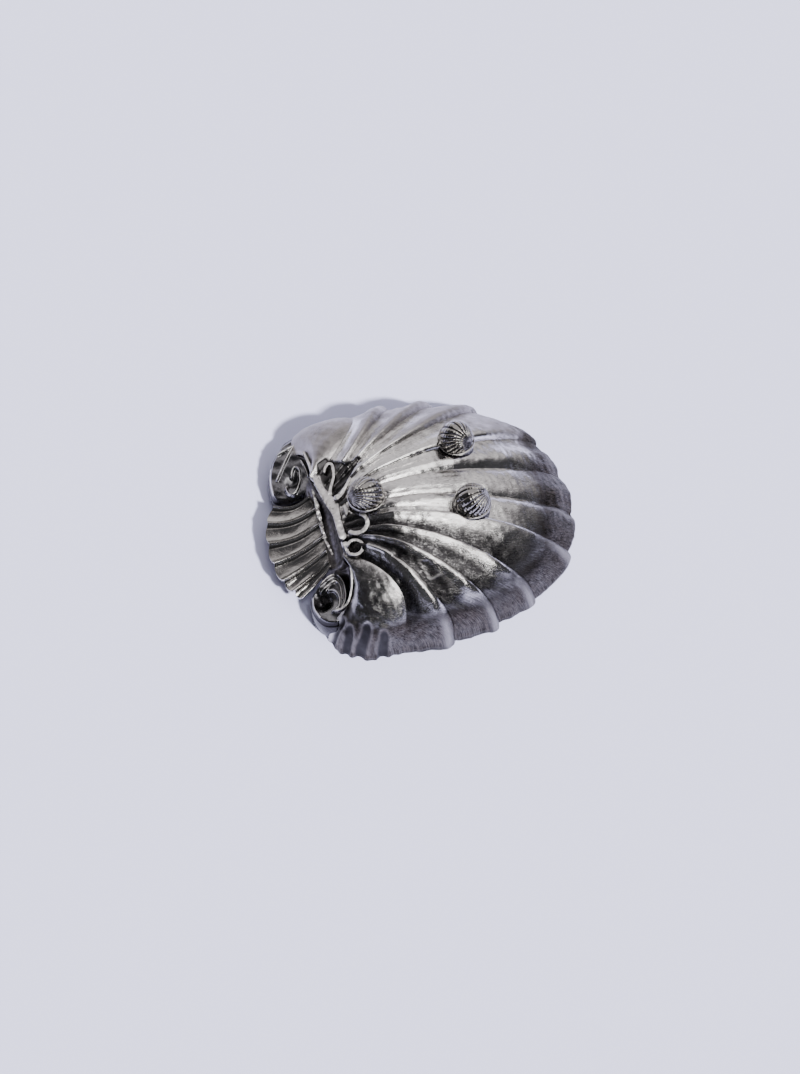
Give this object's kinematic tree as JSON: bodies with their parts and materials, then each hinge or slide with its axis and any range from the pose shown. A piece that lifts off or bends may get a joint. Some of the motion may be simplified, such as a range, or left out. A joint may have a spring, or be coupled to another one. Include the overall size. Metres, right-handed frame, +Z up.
{
  "type": "shell dish",
  "caption": "Silver scallop shell dish for baptism, lying on its rim: fluted cup, cast shell feet, fan thumb piece between volutes, strap and scroll ornament at the hinge.",
  "frame": {"origin": "middle of the floor under the dish as it lies turned over on its rim", "axes": "+X from the thumb piece to the lip, +Y to the left ear, +Z up through the feet; in use the dish is turned over about X so that the feet point down"},
  "size_m": [0.1514, 0.1336, 0.0488],
  "materials": {
    "polished_silver": "hand-polished silver, softly scratched, thin tarnish in the grooves",
    "shaded_silver": "polished silver with darker tarnish in the hollow",
    "fan_silver": "worn polished silver with burnished ridges",
    "cast_silver": "cast silver, pitted, flat tops rubbed pale",
    "foot_silver": "cast silver, tarnish between the ribs, bright tops"
  },
  "bodies": {
    "root": {"cup": "polished_silver", "heel_cove": "shaded_silver", "thumb_fan": "fan_silver", "volute_left": "fan_silver", "volute_right": "fan_silver", "strap_stem": "cast_silver", "strap_tail": "cast_silver", "leaf_loop": "cast_silver", "branch": "cast_silver", "crescent": "cast_silver", "scroll_large": "cast_silver", "scroll_small": "cast_silver", "foot_hinge_collar": "foot_silver", "foot_left_collar": "foot_silver", "foot_right_collar": "foot_silver", "foot_hinge_shell": "foot_silver", "foot_left_shell": "foot_silver", "foot_right_shell": "foot_silver"}
  },
  "joints": []
}
